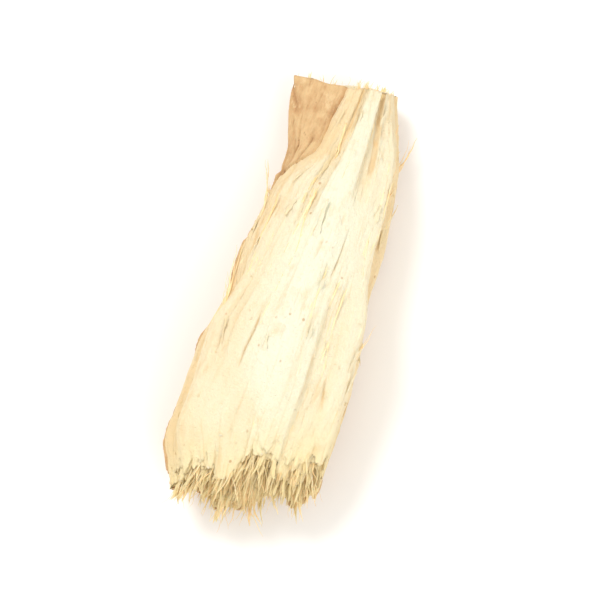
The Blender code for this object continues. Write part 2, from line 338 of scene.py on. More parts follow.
def laid_cells(pattern, turn, along, shift=0, slide=0):
    """A pattern of cells on the chip's sides, moved round and along in its own steps."""
    across = turn * pattern.steps + shift
    return cells(pattern.seed, across, along / pattern.length + slide, CORNERS * pattern.steps)


def laid_veins(pattern, turn, along, shift):
    """1 on thin, wandering lines on the chip's sides and 0 off them."""
    off = 0.1
    across, ahead, period = turn * pattern.steps + shift, along / pattern.length, CORNERS * pattern.steps
    here = smooth_noise(pattern.seed, across, ahead, period)
    beside = smooth_noise(pattern.seed, across + off, ahead, period)
    beyond = smooth_noise(pattern.seed, across, ahead + off, period)
    slope = np.hypot(beside - here, beyond - here) / off
    return np.exp(-((here / (np.maximum(slope, 0.7) * pattern.width)) ** 2))


def few_cells(values, edges, limit, rise, margin):
    """1 inside the few cells whose value is above a limit, and 0 elsewhere."""
    return np.clip((values - limit) / rise, 0, 1) * np.clip(edges / margin, 0, 1)


def groove(edge, width):
    """1 at the border of a cell, and 0 past the width from it."""
    return np.clip(1 - edge / width, 0, 1) ** 1.5


def girth_turns(count, weight):
    """Places round the section, in corner steps, closer together where the weight is larger."""
    fine = np.linspace(0, CORNERS, CORNERS * 60 + 1)
    corners = section_corners(np.linspace(0.5, 9.0, 12))
    sides = np.linalg.norm(np.roll(corners, -1, axis=1) - corners, axis=2).mean(axis=0)
    middles = (fine[1:] + fine[:-1]) / 2
    girth = np.concatenate(([0], np.cumsum(sides[np.floor(middles).astype(int)] * weight(middles))))
    return np.interp(np.arange(count) * girth[-1] / count, girth, fine)


def outline_at(turn, along):
    """The section's outline, its corners rounded by a sliding mean that is wider on the skin."""
    corners = section_corners(along)
    reach = FLESH_ROUNDING + (SKIN_ROUNDING - FLESH_ROUNDING) * skin_share(turn, 0.0)
    total = 0
    shifts = np.linspace(-1, 1, 9)
    for shift in shifts:
        place = (turn + shift * reach) % CORNERS
        corner = np.floor(place).astype(int)
        share = (place - corner)[None, :, None]
        total = total + corners[:, corner % CORNERS] * (1 - share)
        total = total + corners[:, (corner + 1) % CORNERS] * share
    return total / len(shifts)


def scar_depth(turn, along):
    """How deep the splinter scars lie: steep at their sides, and running out where they end on a side."""
    depth = 0
    for middle, first, last, half_width, deep in SCARS:
        from_first = along - first if first > 0 else LENGTH
        from_last = last - along if last < LENGTH else LENGTH
        runout = np.clip(np.minimum(from_first, from_last) / SCAR_RUNOUT, 0, 1)
        walls = np.clip(2.5 - 2 * np.abs(turn - middle) / half_width, 0, 1)
        depth = depth + deep * walls * runout
    return depth


def crack_depth(turn, along):
    """How deep the shrinkage cracks lie."""
    depth = 0
    for middle, first, last, deep in CRACKS:
        path = middle + CRACK_STRAY * smooth_noise(CRACK_SEED, along * 1.3 + middle * 9, along * 0)
        side = np.abs(turn - path) / CRACK_HALF_WIDTH
        runout = np.clip(np.minimum(along - first, last - along) / CRACK_RUNOUT, 0, 1)
        depth = np.maximum(depth, np.exp(-(side**2)) * runout * deep)
    return depth


def relief(turn, along):
    """How far the surface stands out of its smooth outline."""
    skin = skin_share(turn, along)
    bare = laid_noise(RIBS, turn, along) - scar_depth(turn, along)
    return laid_noise(LUMPS, turn, along) + bare * (1 - skin) + laid_noise(FOLDS, turn, along) * skin


def torn_plane(across, up):
    """Where the torn end's face would lie along the chip if it were smooth."""
    return TORN_SLOPE[0] * across + TORN_SLOPE[1] * up - TORN_BACK


def torn_face(across, up):
    """Where the torn end's face lies along the chip."""
    rough = smooth_noise(SEED + 3, across / TORN_GRAIN + 20, up / TORN_GRAIN + 20)
    return torn_plane(across, up) + TORN_ROUGH * rough


def cut_face(across, up):
    """Where the cut end's face lies along the chip."""
    rough = smooth_noise(SEED + 4, across / CUT_GRAIN + 20, up / CUT_GRAIN + 20)
    return LENGTH + CUT_SLOPE[0] * across + CUT_SLOPE[1] * (up - CUT_HEIGHT) + CUT_ROUGH * rough


def placed(flat, share):
    """Points of the body from their place in the section and their share of the way along."""
    across, up = flat[..., 0], flat[..., 1]
    plane = torn_plane(across, up)
    torn = plane + (torn_face(across, up) - plane) * np.clip(1 - share / TORN_FADE, 0, 1)
    return np.stack([across, torn + (cut_face(across, up) - torn) * share, up], axis=-1)


def section_middle(along):
    """The middle of the section at each place along."""
    return outline_at(girth_turns(SOLID_STEPS_ROUND, np.ones_like), along).mean(axis=1, keepdims=True)


def side_outline(turn, along):
    """The outline with its relief, as an array of place along, place round, (across, up)."""
    outline = outline_at(turn, along)
    outward = outline - section_middle(along)
    outward /= np.linalg.norm(outward, axis=2, keepdims=True)
    return outline + outward * relief(turn[None, :], along[:, None])[:, :, None]


def grid_normals(points, wrapped=True):
    """Outward unit normals of a grid of points whose rows run along the chip."""
    along = np.gradient(points, axis=0)
    if wrapped:
        around = np.roll(points, -1, axis=1) - np.roll(points, 1, axis=1)
    else:
        around = np.gradient(points, axis=1)
    normals = np.cross(along, around)
    size = np.linalg.norm(normals, axis=-1, keepdims=True)
    return normals / np.maximum(size, 1e-9)


def turns_from(turn, place):
    """How far round a turn is from a place, in corner steps, and below 0 to the right of it."""
    half = CORNERS / 2
    return (turn - place + half) % CORNERS - half


def fibrous_share(turn, along):
    """1 where the flesh split along its fibres, in scars and at the torn end, and near 0 where it was cut."""
    scar = np.clip(scar_depth(turn, along) / 0.07, 0, 1)
    torn = np.exp(-along / 0.7)
    sides = np.clip(np.abs(turns_from(turn, 3.1)) - 0.9, 0, 1)
    patch = np.clip(0.2 + 1.3 * smooth_noise(30, turn * 1.5 + 3, along / 1.9 + 7), 0, 1)
    return np.clip(0.08 + 0.85 * scar + 0.7 * torn + 0.65 * sides + 0.45 * patch, 0, 1)


def warmth(turn, along):
    """How warm the flesh's colour is: more at the left edge, on the sides, in scars and at the cut end."""
    from_top = turns_from(turn, 3.05)
    warm = np.maximum(np.where(from_top > 0, from_top - 0.20, -from_top - 0.65) / 0.8, 0)
    # Scars are warmer, partly for the split flesh's own colour and partly as painted warm shade in their
    # hollows
    scar = np.clip(scar_depth(turn, along) / 0.1, 0, 1)
    narrow_end = 0.6 * np.exp((along - LENGTH) / 0.7) + 0.15 * np.clip((along - 6.5) / 2, 0, 1)
    return np.clip(warm + 0.5 * scar + narrow_end, 0, 1)


def flesh_grain(turn, along):
    """Fine relief of bare flesh in millimetres, of plates, fibres and granules, and where its fibres show."""
    fibrous = fibrous_share(turn, along)
    wander = laid_noise(WANDER, turn, along)
    jitter = laid_noise(JITTER, turn, along)
    plate = laid_cells(PLATES, turn, along, jitter * 0.7 + wander, jitter)[0]
    bundle, bundle_edge = laid_cells(BUNDLES, turn, along, wander + jitter * 0.3)
    fibres = laid_veins(FIBRES, turn, along, wander * 5)
    fibres = fibres * np.clip(0.55 + laid_noise(FIBRE_BREAKS, turn, along), 0, 1)
    height = PLATES.height * plate + laid_noise(HOLLOWS, turn, along)
    height = height + laid_noise(FURROWS, turn, along, wander * 4) * fibrous
    bundles = BUNDLES.height * bundle - BUNDLE_GROOVE * groove(bundle_edge, BUNDLES.width)
    height = height + fibrous * bundles + FIBRES.height * fibres * (0.15 + 0.85 * fibrous)
    height = height + laid_noise(STRIAE, turn, along, wander * 6) * fibrous
    height = height + sum(laid_noise(grains, turn, along) for grains in POWDER) * (1.2 - 0.5 * fibrous)
    height = height - PULLED_DEPTH * few_cells(bundle, bundle_edge, 0.80, 0.05, 0.3) * fibrous
    slit = few_cells(*laid_cells(SLITS, turn, along, wander * 6), 0.95, 0.02, 0.5)
    height = height - SLITS.height * slit * (0.45 + 0.55 * fibrous)
    return height - crack_depth(turn, along), fibres * (0.3 + 0.7 * fibrous)


def skin_folds(turn, along):
    """How raised the skin's folds are, 0 to 1, from which the skin's finish paints shade in the creases, and
    the skin's fine relief in millimetres.
    """
    weave = laid_noise(SKIN_WEAVE, turn, along)
    creases = laid_veins(CREASES, turn, along, weave)
    creases = creases * np.clip(0.55 + laid_noise(CREASE_BREAKS, turn, along), 0.1, 1)
    small_creases = laid_veins(SMALL_CREASES, turn, along, weave * 2)
    small_creases = small_creases * np.clip(0.5 + laid_noise(SMALL_BREAKS, turn, along), 0, 1)
    height = laid_noise(PLUMPNESS, turn, along) + laid_noise(SKIN_GRAIN, turn, along)
    height = height - CREASES.height * creases - SMALL_CREASES.height * small_creases
    scars = 0
    for place, wander in LEAF_SCARS:
        gap = along - place - wander * smooth_noise(LEAF_SCAR_SEED, turn * 2 + place, along * 0 + place)
        height = height + LEAF_SCAR_LIP * np.exp(-((gap / LEAF_SCAR_WIDTH) ** 2))
        height = height - LEAF_SCAR_GROOVE * np.exp(-(((gap - LEAF_SCAR_STEP) / LEAF_SCAR_WIDTH) ** 2))
        scars = scars + np.exp(-(((gap - LEAF_SCAR_BAND) / LEAF_BAND_WIDTH) ** 2))
    raised = 1 - 0.75 * creases - 0.35 * small_creases - 0.5 * scars
    return np.clip(raised, 0, 1), height


def end_relief(pattern, across, up, warp=0):
    """How far the cells of a pattern stand out of an end face, in millimetres."""
    wide, tall = pattern.size
    value, edge = cells(pattern.seed, across / wide + 50 + warp, up / tall + 50 - warp)
    return pattern.height * value - pattern.depth * groove(edge, pattern.width)


def torn_stubs(across, up):
    """How far broken fibre bundles stand out of the torn end's face."""
    warp = STUB_WARP * smooth_noise(STUB_SEED, across / STUB_WARP_SIZE + 30, up / STUB_WARP_SIZE + 30)
    return end_relief(STUBS, across, up, warp) + end_relief(STUB_FIBRES, across, up)


class Body:
    """The chip's flesh as a fine grid of points, with its normals, which every other piece sits on."""

    def __init__(self):
        self.turn = girth_turns(FLESH_ROUND, self.fineness)
        side_along = np.linspace(0, LENGTH, FLESH_ALONG)
        torn_shares = np.arange(1, TORN_RINGS) / TORN_RINGS
        cut_shares = np.arange(CUT_RINGS - 1, 0, -1) / CUT_RINGS
        outline = side_outline(self.turn, side_along)
        rows = [placed(self.shrunk(outline[0], share), 0.0) for share in torn_shares]
        rows.extend(placed(outline, (side_along / LENGTH)[:, None]))
        rows.extend(placed(self.shrunk(outline[-1], share), 1.0) for share in cut_shares)
        points = np.array(rows)
        self.first_side = len(torn_shares)
        self.last_side = self.first_side + FLESH_ALONG - 1
        along = np.concatenate((torn_shares * 0, side_along, cut_shares * 0 + LENGTH))
        self.turns = np.broadcast_to(self.turn, points.shape[:2])
        self.alongs = np.broadcast_to(along[:, None], points.shape[:2])
        # 1 on the sides, and falling to 0 at the middle of each end face
        side = np.concatenate((torn_shares**6, np.ones(FLESH_ALONG), cut_shares**6))[:, None]
        skin = skin_share(self.turns, self.alongs)
        grain, self.vein = flesh_grain(self.turns, self.alongs)
        self.points = self.with_relief(points, grain, skin, side)
        self.normals = grid_normals(self.points)
        self.find_colours(grain, skin, side)

    @staticmethod
    def fineness(turn):
        """How close together the points lie round the section: further apart under the skin."""
        return np.where(skin_reach(turn, 3.0) > 0.15, UNDER_SKIN_SHARE, 1.0)

    @staticmethod
    def shrunk(outline, share):
        middle = outline.mean(axis=0)
        return middle + (outline - middle) * share

    def with_relief(self, points, grain, skin, side):
        """The points with the fine relief of the flesh, of its face under the skin, and of both ends."""
        sides = slice(self.first_side, self.last_side + 1)
        normals = np.zeros(points.shape)
        normals[sides] = grid_normals(points[sides])
        under_skin = skin_folds(self.turns, self.alongs)[1] - FLESH_UNDER_SKIN
        height = grain * (1 - skin) + under_skin * skin
        points = points + normals * height[..., None]
        torn_near = np.clip(1 - self.alongs / STUBS_FADE, 0, 1) * (1 - skin * side)
        cut_near = np.clip(1 - (LENGTH - self.alongs) / CUT_DOTS_FADE, 0, 1)
        points[..., 1] -= torn_stubs(points[..., 0], points[..., 2]) * torn_near
        points[..., 1] += end_relief(CUT_DOTS, points[..., 0], points[..., 2]) * cut_near
        points[..., 2] = np.maximum(points[..., 2], FLESH_CLEARANCE)
        return points

    def find_colours(self, grain, skin, side):
        """Finds the values that the flesh's finish reads."""
        turns, alongs = self.turns, self.alongs
        on_torn_face = slice(0, self.first_side)
        # Painted shade in the flesh's grooves and cracks, which the finish turns tan
        self.groove = np.clip((-grain - 0.018) / 0.035, 0, 1) * (1 - skin)
        # Painted shade over the torn face, which lies among its slivers, fading out at its rim
        self.groove[on_torn_face] = 0.25 * np.clip((1 - side[on_torn_face]) * 4, 0, 1)
        self.vein = self.vein * np.clip(side * 4 - 3, 0, 1)
        wander = laid_noise(RING_STRAY, turns, alongs) + laid_noise(RING_WAVER, turns, alongs)
        side_gap = skin_reach(turns, alongs) + CORTEX_WIDTH + wander
        end_gap = (side - 0.62) * 3
        gap = np.where((skin > 0.5) & (side < 1), end_gap, side_gap)
        faint = np.clip(0.45 + laid_noise(RING_BREAKS, turns, alongs), 0.1, 1)
        self.ring = np.exp(-((gap / (0.02 + 0.03 * faint)) ** 2)) * np.clip(side * 4, 0, 1) * faint
        self.cortex = np.clip(gap / 0.25 + 0.5, 0, 1)
        self.torn = np.maximum(np.exp(-alongs / 0.8) * 0.8, 1 - side)
        self.torn[self.last_side:] = 0.0
        self.warm = warmth(turns, alongs)
        # Painted highlight: the flesh is painted paler along the sliced face's ridge
        self.ridge = np.exp(-(((turns - HIGHLIGHT_RIDGE_PLACE) / HIGHLIGHT_RIDGE_WIDTH) ** 2))

    def surface(self, turn, along):
        """Points and normals of the flesh's sides at places round and along."""
        turn = np.asarray(turn, float) % CORNERS
        column = np.interp(turn, np.append(self.turn, CORNERS), np.arange(FLESH_ROUND + 1))
        row = self.first_side + np.clip(along, 0, LENGTH) / LENGTH * (FLESH_ALONG - 1)
        i = np.floor(column).astype(int)
        j = np.minimum(np.floor(row).astype(int), self.last_side - 1)
        u, v = (column - i)[..., None], (row - j)[..., None]
        i, k = i % FLESH_ROUND, (i + 1) % FLESH_ROUND
        found = []
        for grid in (self.points, self.normals):
            low = grid[j, i] * (1 - u) + grid[j, k] * u
            high = grid[j + 1, i] * (1 - u) + grid[j + 1, k] * u
            found.append(low * (1 - v) + high * v)
        return found


BODY = Body()


def path_on_flesh(seed, turn, along, stray, waver):
    """Points and normals along a wavering path on the flesh, or None where it meets the skin."""
    turns = turn + stray * smooth_noise(seed, along * waver + turn * 20, along * 0)
    if skin_share(turns, along).max() > 0.2:
        return None
    return BODY.surface(turns, along)


def in_frame(points):
    """Points in the frame, in metres, from the chip's own millimetres."""
    return (np.asarray(points) - (MIDDLE[0], MIDDLE[1], 0.0)) * MM


def shown(name, data):
    """A new object in the scene."""
    thing = bpy.data.objects.new(name, data)
    bpy.context.scene.collection.objects.link(thing)
    return thing


def mesh_piece(name, points, faces, material, values):
    """A shown piece from points in millimetres and faces, with named values at its points."""
    mesh = bpy.data.meshes.new(name)
    mesh.from_pydata(in_frame(points).tolist(), [], faces)
    for label, value in values.items():
        layer = mesh.attributes.new(label, "FLOAT", "POINT")
        layer.data.foreach_set("value", np.asarray(value, np.float32).ravel())
    mesh.validate()
    mesh.shade_smooth()
    mesh.materials.append(material)
    piece = shown(name, mesh)
    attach(piece, "root")
    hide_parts(NODE)
    return piece


def grid_faces(rows, columns, wrapped):
    """Four-sided faces between the points of a grid, whose rows run along the chip."""
    faces = []
    last = columns if wrapped else columns - 1
    for row in range(rows - 1):
        low, high = row * columns, (row + 1) * columns
        for i in range(last):
            j = (i + 1) % columns
            faces.append((low + i, high + i, high + j, low + j))
    return faces


def closed_faces(rows, columns):
    """Faces of a wrapped grid, closed at both ends round two more points that follow the grid's."""
    faces = grid_faces(rows, columns, True)
    first, last = rows * columns, rows * columns + 1
    top = (rows - 1) * columns
    for i in range(columns):
        j = (i + 1) % columns
        faces.append((first, i, j))
        faces.append((last, top + j, top + i))
    return faces


def both_ways(operation):
    """A Python operator that adds a maths node, and its reflected form, so that 1 - mask works."""

    def forward(self, other):
        return self.tree.node("ShaderNodeMath", {"operation": operation}, {0: self, 1: other})

    def reflected(self, other):
        return self.tree.node("ShaderNodeMath", {"operation": operation}, {0: other, 1: self})

    return forward, reflected


class Wire:
    """A socket of a shader tree that takes part in Python expressions."""

    def __init__(self, tree, socket):
        self.tree = tree
        self.socket = socket

    __add__, __radd__ = both_ways("ADD")
    __sub__, __rsub__ = both_ways("SUBTRACT")
    __mul__, __rmul__ = both_ways("MULTIPLY")

    def clamp(self):
        return self.tree.node("ShaderNodeClamp", {}, {"Value": self})

    def between(self, low, high):
        """0 at low and 1 at high, smooth in between."""
        sockets = {"Value": self, "From Min": low, "From Max": high}
        return self.tree.node("ShaderNodeMapRange", {"interpolation_type": "SMOOTHSTEP"}, sockets)


class Finish:
    """A material with its node tree, and the nodes that this chip's finishes need."""

    def __init__(self, name):
        self.material = bpy.data.materials.new(name)
        self.material.use_nodes = True
        self.nodes = self.material.node_tree.nodes
        self.links = self.material.node_tree.links
        self.shader = self.nodes["Principled BSDF"]

    def node(self, kind, settings, sockets, output=0):
        """Adds a node, sets it up, feeds its sockets, and returns one of its outputs."""
        node = self.nodes.new(kind)
        for setting, value in settings.items():
            if setting == "stops":
                self.set_stops(node.color_ramp.elements, value)
            else:
                setattr(node, setting, value)
        for socket, value in sockets.items():
            self.feed(node.inputs[socket], value)
        return Wire(self, node.outputs[output])

    @staticmethod
    def set_stops(elements, stops):
        """Gives a ramp its stops, each a share and a colour."""
        while len(elements) < len(stops):
            elements.new(0.5)
        for element, (place, colour) in zip(elements, stops):
            element.position = place
            element.color = colour

    def feed(self, socket, value):
        if isinstance(value, Wire):
            self.links.new(value.socket, socket)
        else:
            socket.default_value = value

    def set(self, **values):
        """Feeds the shader's own sockets, named with underlines for spaces."""
        for name, value in values.items():
            self.feed(self.shader.inputs[name.replace("_", " ")], value)

    def place(self, stretch):
        """The place on the piece, in millimetres, divided by a stretch for each axis."""
        where = self.node("ShaderNodeTexCoord", {}, {}, "Object")
        scale = tuple(1 / (MM * size) for size in stretch)
        return self.node("ShaderNodeVectorMath", {"operation": "MULTIPLY"}, {0: where, 1: scale})

    def noise(self, stretch, detail=3.0, roughness=0.55):
        sockets = {"Vector": self.place(stretch), "Scale": 1.0, "Detail": detail, "Roughness": roughness}
        return self.node("ShaderNodeTexNoise", {}, sockets)

    def dots(self, stretch):
        """The distance from scattered dots, in shares of their spacing."""
        return self.node("ShaderNodeTexVoronoi", {}, {"Vector": self.place(stretch), "Scale": 1.0})

    def mesh_value(self, name):
        return self.node("ShaderNodeAttribute", {"attribute_name": name}, {}, "Fac")

    def mix(self, share, first, second):
        """A colour between two colours."""
        return self.node("ShaderNodeMix", {"data_type": "RGBA"}, {0: share, 6: first, 7: second}, 2)

    def ramp(self, share, *stops):
        """A colour from a row of stops."""
        return self.node("ShaderNodeValToRGB", {"stops": stops}, {0: share})

    def bump(self, height, depth):
        """A normal from a height of 0 to 1 that stands for a depth in millimetres."""
        return self.node("ShaderNodeBump", {}, {"Height": height, "Distance": depth * MM}, "Normal")


def colour_property(name, description, red, green, blue):
    """A colour that a user can change, given as it looks on the screen, 0 to 255."""
    linear = [((c / 255 + 0.055) / 1.055) ** 2.4 for c in (red, green, blue)]
    return bpy.props.FloatVectorProperty(
        name=name, description=description, default=(*linear, 1.0), size=4, min=0.0, max=1.0, subtype="COLOR"
    )


def length_property(name, description, millimetres):
    """A length that a user can change, kept in metres."""
    return bpy.props.FloatProperty(
        name=name, description=description, default=millimetres * MM, min=0.0, precision=6, unit="LENGTH"
    )


def count_property(name, description, count):
    """A number of like things that a user can change."""
    return bpy.props.IntProperty(name=name, description=description, default=count)


class GingerSizes(bpy.types.PropertyGroup):
    """Sizes and numbers of the chip's fine parts."""

    skin_thickness: length_property("Skin thickness", "Thickness of the papery skin", 0.05)
    hair_radius: length_property("Hair radius", "Radius of the finest fibres that stand out", 0.012)
    strand_radius: length_property("Strand radius", "Radius of the fibres that show on the flesh", 0.045)
    crumb_size: length_property("Crumb size", "Largest radius of the starchy crumbs", 0.045)
    torn_hairs: count_property("Torn hairs", "Fine hairs at the torn end", 150)
    cut_hairs: count_property("Cut hairs", "Fine hairs at the cut end", 30)
    strands: count_property("Strands", "Fibres that lie in the flesh", 80)
    splinters: count_property("Splinters", "Slivers split off the flesh", 26)
    torn_splinters: count_property("Torn splinters", "Slivers at the torn end", 330)
    crumbs: count_property("Crumbs", "Starchy crumbs on the flesh", 150)


class GingerColours(bpy.types.PropertyGroup):
    """Colours of the chip and of the floor below it."""

    # Painted highlight: the flesh is painted paler along the sliced face's ridge
    flesh_ridge_highlight: colour_property("Ridge", "The palest flesh, along the sliced face's ridge", 250, 249, 226)
    flesh_pale: colour_property("Pale flesh", "Starchy flesh on the sliced face", 251, 244, 217)
    flesh_warm: colour_property("Warm flesh", "Flesh towards the sides and the skin", 246, 219, 172)
    # Painted shade in the flesh's grooves and cracks; also the colour of the tan ring line and fine marks
    flesh_shade_and_ring: colour_property("Groove", "Flesh in grooves and cracks", 232, 193, 132)
    fleck: colour_property("Oil fleck", "Dried oil cells in the flesh", 196, 140, 74)
    torn: colour_property("Torn flesh", "Fibrous flesh at the torn end", 255, 234, 177)
    skin_light: colour_property("Light skin", "Raised folds of the skin", 222, 187, 138)
    skin_mid: colour_property("Skin", "The skin's main colour", 199, 156, 109)
    # Dark skin, also used as painted shade in the skin's creases
    skin_dark_and_crease_shade: colour_property("Dark skin", "Creases of the skin", 156, 110, 72)
    straw_pale: colour_property("Pale straw", "Fibres that lie in the flesh", 249, 238, 207)
    straw: colour_property("Straw", "Fibres", 254, 231, 181)
    straw_dark: colour_property("Dark straw", "Older fibres and fibre tips", 237, 197, 136)
    floor: colour_property("Floor", "The plain floor of the stage", 250, 249, 247)


def flesh_finish(name, colours):
    """Dry starchy flesh: cream and powdery, warmer towards the skin, with a tan ring line, oil flecks, a
    painted highlight along the ridge and painted shade in grooves.
    """
    finish = Finish(name)
    shares = [finish.mesh_value(value) for value in FLESH_VALUES]
    groove_shade_share, torn_share, warm_share, ring_share, vein_share, cortex_share, ridge_highlight_share = shares
    patches = finish.noise((1.4, 2.4, 1.4), 3.0)
    streaks = finish.noise((0.13, 1.5, 0.13), 4.0, 0.6)
    fine = finish.noise((0.035, 0.4, 0.035), 3.0, 0.6)
    chalk = finish.noise((0.16, 0.24, 0.16), 5.0, 0.65)
    powder = finish.noise((0.045, 0.045, 0.045), 5.0, 0.7)
    flecks = finish.dots((0.30, 0.36, 0.30)).between(0.15, 0.06)
    rare = finish.noise((0.45, 0.45, 0.45), 1.0).between(0.52, 0.62)
    warm = warm_share * 0.5 + cortex_share * 0.3 + patches.between(0.48, 0.75) * 0.25
    warm = (warm + streaks.between(0.5, 0.8) * 0.15 + chalk.between(0.5, 0.8) * 0.3).clamp()
    # Painted highlight: the flesh turns paler along the sliced face's ridge
    highlight_share = ridge_highlight_share * (0.25 + streaks.between(0.25, 0.6) * 0.65)
    pale = finish.mix(highlight_share, colours.flesh_pale, colours.flesh_ridge_highlight)
    base = finish.mix(warm, pale, colours.flesh_warm)
    base = finish.mix(torn_share * (0.55 + streaks * 0.6), base, colours.torn)
    base = finish.mix(vein_share * (0.1 + streaks * 0.6), base, colours.straw_dark)
    # Painted shade in the grooves, mixed with the real tan ring line and fine powdery marks
    deep = (groove_shade_share * 0.65 + fine.between(0.60, 0.85) * 0.2 + ring_share * (0.2 + streaks)).clamp()
    deep = (deep + powder.between(0.46, 0.30) * 0.16).clamp()
    base = finish.mix(deep, base, colours.flesh_shade_and_ring)
    base = finish.mix(flecks * rare * 0.6, base, colours.fleck)
    finish.set(
        Base_Color=base,
        Roughness=0.76 + powder * 0.2,
        Normal=finish.bump(powder * 0.35 + chalk * 0.5 + fine * 0.15, 0.13),
        Subsurface_Weight=0.10,
        Subsurface_Radius=(1.0, 0.8, 0.5),
        Subsurface_Scale=0.07 * MM,
        Specular_IOR_Level=0.25,
    )
    return finish.material


def skin_finish(name, colours):
    """Papery tan skin with painted shade in its creases, paler raised folds and a dusting of starch."""
    finish = Finish(name)
    fold = finish.mesh_value("fold")
    patches = finish.noise((0.7, 1.0, 0.7), 4.0, 0.6)
    streaks = finish.noise((0.05, 0.6, 0.05), 4.0, 0.65)
    mottle = finish.noise((0.20, 0.26, 0.20), 4.0, 0.6)
    scales = finish.noise((0.09, 0.05, 0.09), 4.0, 0.6)
    dust = finish.noise((0.30, 0.45, 0.30), 5.0, 0.7).between(0.54, 0.70)
    specks = finish.dots((0.16, 0.20, 0.16)).between(0.20, 0.08)
    specks = specks * finish.noise((0.5, 0.5, 0.5), 1.0).between(0.5, 0.62)
    # The tone is lower in the creases, painted shade, and higher on raised folds, mixed with the skin's own
    # patches
    tone = (patches * 0.9 + streaks * 0.6 + mottle * 0.7 + fold * 0.45 - 0.85).clamp()
    base = finish.ramp(tone, (0.10, colours.skin_dark_and_crease_shade), (0.42, colours.skin_mid), (0.78, colours.skin_light))
    base = finish.mix(dust * 0.45, base, colours.flesh_warm)
    # Painted shade darkens the creases, where the fold share is low, together with the skin's real dark
    # specks
    crease_shade_and_specks = (fold.between(0.55, 0.05) * 0.45 + specks * 0.5).clamp()
    finish.set(
        Base_Color=finish.mix(crease_shade_and_specks, base, colours.skin_dark_and_crease_shade),
        Roughness=0.62 + scales * 0.28,
        Normal=finish.bump(streaks * 0.45 + scales * 0.25 + mottle * 0.3, 0.09),
        Subsurface_Weight=0.05,
        Subsurface_Scale=0.05 * MM,
        Specular_IOR_Level=0.3,
    )
    return finish.material


def fibre_finish(name, colours):
    """Straw-coloured fibres, each of its own tone, with darker tips."""
    finish = Finish(name)
    streaks = finish.noise((0.02, 0.35, 0.02), 3.0)
    age = (finish.mesh_value("tone") * 0.8 + streaks.between(0.4, 0.75) * 0.4).clamp()
    base = finish.ramp(age, (0.0, colours.straw_pale), (0.3, colours.straw), (1.0, colours.straw_dark))
    finish.set(
        Base_Color=base,
        Roughness=0.5 + streaks * 0.3,
        Normal=finish.bump(streaks, 0.008),
        Subsurface_Weight=0.1,
        Subsurface_Scale=0.04 * MM,
        Specular_IOR_Level=0.4,
    )
    return finish.material


def tube_points(path, radii, sides, flatness, spin, facing):
    """Rings of points round a path, thinner by the share called flatness towards the way that it faces."""
    ahead = np.gradient(path, axis=0)
    ahead /= np.linalg.norm(ahead, axis=1, keepdims=True)
    across = np.cross(ahead, facing)
    across /= np.linalg.norm(across, axis=1, keepdims=True)
    up = np.cross(across, ahead)
    angle = np.arange(sides) * 2 * math.pi / sides
    wide = across * math.cos(spin) + up * math.sin(spin)
    thin = up * math.cos(spin) - across * math.sin(spin)
    ring = wide[:, None] * np.cos(angle)[:, None] + thin[:, None] * (flatness * np.sin(angle))[:, None]
    return path[:, None] + ring * radii[:, None, None]


class Bundle:
    """Many tubes gathered into one mesh."""

    def __init__(self):
        self.points = []
        self.faces = []
        self.tones = []
        self.count = 0

    def add(self, path, radii, tone, sides=7, flatness=0.75, spin=0.0, facing=(0.31, 0.05, 0.95)):
        """Adds a tube along a path, closed at both ends, darker towards its tip."""
        steps = len(path)
        self.points.append(tube_points(path, radii, sides, flatness, spin, facing).reshape(-1, 3))
        self.points.append(path[[0, -1]])
        for face in closed_faces(steps, sides):
            self.faces.append(tuple(self.count + corner for corner in face))
        tones = tone + 0.35 * np.linspace(0, 1, steps) ** 2
        self.tones.append(np.repeat(tones, sides))
        self.tones.append(tones[[0, -1]])
        self.count += steps * sides + 2

    def piece(self, name, material):
        tones = np.concatenate(self.tones)
        return mesh_piece(name, np.concatenate(self.points), self.faces, material, {"tone": tones})


def pointing(across, along, up):
    """A direction of length 1."""
    return np.array(Vector((across, along, up)).normalized())


def fibre_path(rng, root, direction, sunk, reach, curl, wave, steps=14):
    """A path from inside the body to a fibre's tip, curling and wavering as it goes out."""
    out = np.linspace(-sunk, reach, steps)
    beyond = np.maximum(out, 0)[:, None]
    path = root + direction * out[:, None] + curl * beyond**2
    sway = np.cross(direction, (0.0, 0.3, 1.0))
    lift = np.cross(sway, direction)
    for way in (sway, lift):
        for length in (0.9, 0.37):
            bend = np.sin(rng.uniform(0, 6) + beyond / length * 6.28)
            path = path + way * (wave * length * bend * np.minimum(beyond / 0.15, 1))
    return path


def end_root(flat, share):
    """The point of an end's face at a place in the section, for a share along of 0 or 1."""
    face = cut_face if share else torn_face
    return np.array((flat[0], float(face(flat[0], flat[1])), flat[1]))


def solid_fibres(rng, count, share, reach_range, splay):
    """The solid's own fibres at one end of the body."""
    turn = girth_turns(SOLID_STEPS_ROUND, np.ones_like)
    outline = outline_at(turn, np.array([share * LENGTH]))[0]
    middle = outline.mean(axis=0)
    way = 1 if share else -1
    found = []
    for i in range(count):
        place = int(i * GOLDEN_ANGLE / (2 * math.pi) * SOLID_STEPS_ROUND) % SOLID_STEPS_ROUND
        out = 0.9 * math.sqrt((i + 0.5) / count)
        flat = middle + (outline[place] - middle) * out + rng.uniform(-0.06, 0.06, 2)
        lean = (flat - middle) * splay + rng.uniform(-FIBRE_STRAY, FIBRE_STRAY, 2)
        thick = rng.uniform() ** 1.5
        radius = FIBRE_RADIUS[0] + (FIBRE_RADIUS[1] - FIBRE_RADIUS[0]) * thick
        reach = reach_range[0] + (reach_range[1] - reach_range[0]) * (0.6 * thick + 0.4 * rng.uniform())
        curl = np.array((rng.uniform(-1, 1), 0, rng.uniform(-1, 0.6))) * FIBRE_CURL
        direction = pointing(lean[0], way, lean[1])
        found.append(Fibre(end_root(flat, share), direction, reach, radius, curl))
    return found


